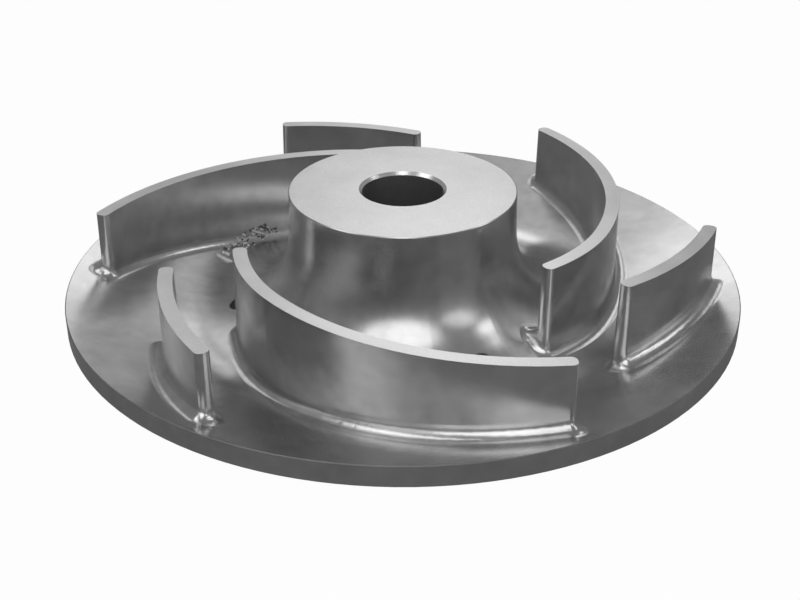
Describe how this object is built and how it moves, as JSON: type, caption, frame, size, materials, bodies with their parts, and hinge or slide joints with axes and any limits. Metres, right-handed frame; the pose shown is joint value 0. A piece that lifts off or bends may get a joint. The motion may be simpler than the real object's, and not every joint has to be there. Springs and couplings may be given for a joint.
{
  "type": "pump impeller",
  "caption": "Semi-open cast pump impeller: dished disc with a flared hub and a plain bore, tall swept vanes with shorter splitter vanes between them, and balance holes.",
  "frame": {"origin": "on the shaft axis, in the flat back face of the hub", "axes": "+Z along the shaft axis, from the back face towards the vanes and the inlet; +X to the right and +Y away from the viewer as the impeller lies in the picture"},
  "size_m": [0.3, 0.3, 0.0699],
  "materials": {
    "cast_steel": "cast stainless steel, ground and polished to a soft shine with a faint cloudy mottle; the hub's top and the vane tops are machined flat and a little lighter"
  },
  "bodies": {
    "root": {"impeller": "cast_steel"}
  },
  "joints": []
}
